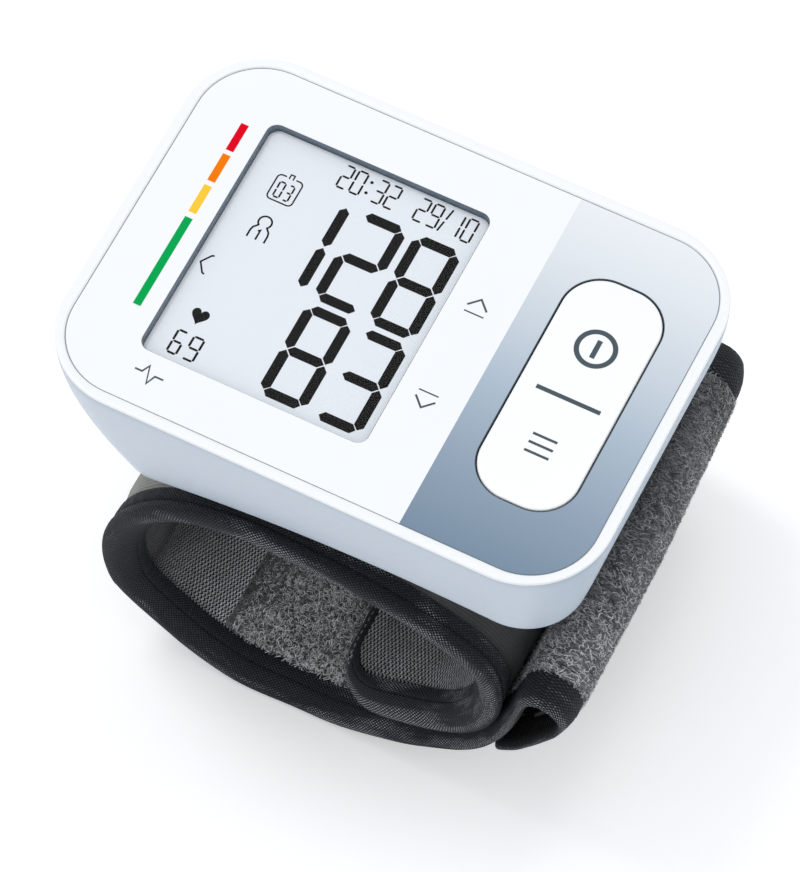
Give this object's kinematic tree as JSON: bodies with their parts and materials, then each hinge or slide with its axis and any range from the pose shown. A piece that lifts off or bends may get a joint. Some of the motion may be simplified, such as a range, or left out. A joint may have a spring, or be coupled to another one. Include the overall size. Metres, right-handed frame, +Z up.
{
  "type": "wrist blood pressure monitor",
  "caption": "Compact display housing on an inflatable wrist cuff that closes with a hook and loop strap; rocker key, battery cover, pump and valve inside.",
  "frame": {"origin": "on the flat patch of the cuff that rests on the table, straight below the centre of the display face", "axes": "+Z up through the display face, +X to the right of the display (along its longer side), +Y to the display's top edge, along the wrist"},
  "size_m": [0.0842, 0.062, 0.072],
  "materials": {
    "white_plastic": "satin",
    "shell_plastic": "satin",
    "face_print": "gloss",
    "clear_window": "clear",
    "display_glass": "opaque liquid crystal cell",
    "grey_plastic": "matt",
    "silicone": "matt",
    "board": "solder mask",
    "chip": "matt",
    "steel": "bright",
    "brass": "plated",
    "cell_jacket": "printed jacket",
    "tape_fabric": "woven",
    "cover_fabric": "smooth knit",
    "mesh_fabric": "knit",
    "pile_fabric": "looped pile",
    "hook_fabric": "hook tape",
    "bladder_film": "smooth film",
    "stiff_plastic": "matt"
  },
  "bodies": {
    "housing": {"upper_case": "white_plastic", "lower_case": "shell_plastic", "face_plate": "face_print", "window_lens": "clear_window", "rocker_pin": "steel", "power_dome": "silicone", "memory_dome": "silicone", "display_glass": "display_glass", "display_holder": "grey_plastic", "display_connector_strip": "silicone", "main_board": "board", "controller_chip": "chip", "clock_crystal": "steel", "buzzer": "chip", "battery_cell_left": "cell_jacket", "battery_cell_right": "cell_jacket", "contact_link_front": "brass", "contact_positive": "brass", "contact_negative": "brass", "contact_spring_front": "steel", "contact_spring_rear": "steel", "pump_motor": "steel", "pump_head": "grey_plastic", "pump_bracket": "grey_plastic", "valve_body": "grey_plastic", "air_manifold": "grey_plastic", "pressure_sensor": "chip", "pump_tube": "silicone", "valve_tube": "silicone", "cuff_tube": "silicone", "case_screw_1": "steel", "case_screw_2": "steel", "case_screw_3": "steel", "case_screw_4": "steel", "cuff_cover": "cover_fabric", "cuff_stiffener": "stiff_plastic", "air_bladder": "bladder_film", "cuff_lining": "mesh_fabric", "loop_edge_tape": "tape_fabric"},
    "rocker": {"rocker_key": "white_plastic"},
    "battery_cover": {"battery_cover": "shell_plastic"},
    "outer_flap": {"flap_cover": "cover_fabric", "flap_lining": "mesh_fabric", "flap_pile": "pile_fabric", "flap_tape_front": "tape_fabric", "flap_tape_back": "tape_fabric"},
    "strap_tail": {"tail_cover": "cover_fabric", "tail_pile": "pile_fabric", "tail_edge_tape": "tape_fabric", "hook_patch": "hook_fabric"},
    "pump_shaft": {"pump_shaft": "steel"},
    "valve_plunger": {"valve_plunger": "steel"}
  },
  "joints": [
    {"name": "key_rock", "type": "hinge", "parent": "housing", "child": "rocker", "pos_m": [0.02733, -0.00015, 0.06855], "axis": [1, 0, 0], "range_deg": [-2.3, 2.3], "stiffness_Nm_per_rad": 0.02},
    {"name": "battery_cover_slide", "type": "slide", "parent": "housing", "child": "battery_cover", "axis": [-1, 0, 0], "range_m": [0, 0.012]},
    {"name": "outer_flap_fold", "type": "hinge", "parent": "housing", "child": "outer_flap", "pos_m": [-0.0303, 0, 0.01562], "axis": [0, 1, 0], "range_deg": [0, 75]},
    {"name": "strap_tail_fold", "type": "hinge", "parent": "outer_flap", "child": "strap_tail", "pos_m": [0.0384, 0, 0.04065], "axis": [0, -1, 0], "range_deg": [0, 100]},
    {"name": "pump_shaft_spin", "type": "hinge", "parent": "housing", "child": "pump_shaft", "pos_m": [0.013, 0, 0.0598], "axis": [0, 1, 0], "continuous": true},
    {"name": "valve_plunger_slide", "type": "slide", "parent": "housing", "child": "valve_plunger", "axis": [0, 1, 0], "range_m": [0, 0.0008], "stiffness_N_per_m": 100, "springref_m": -0.0004}
  ]
}
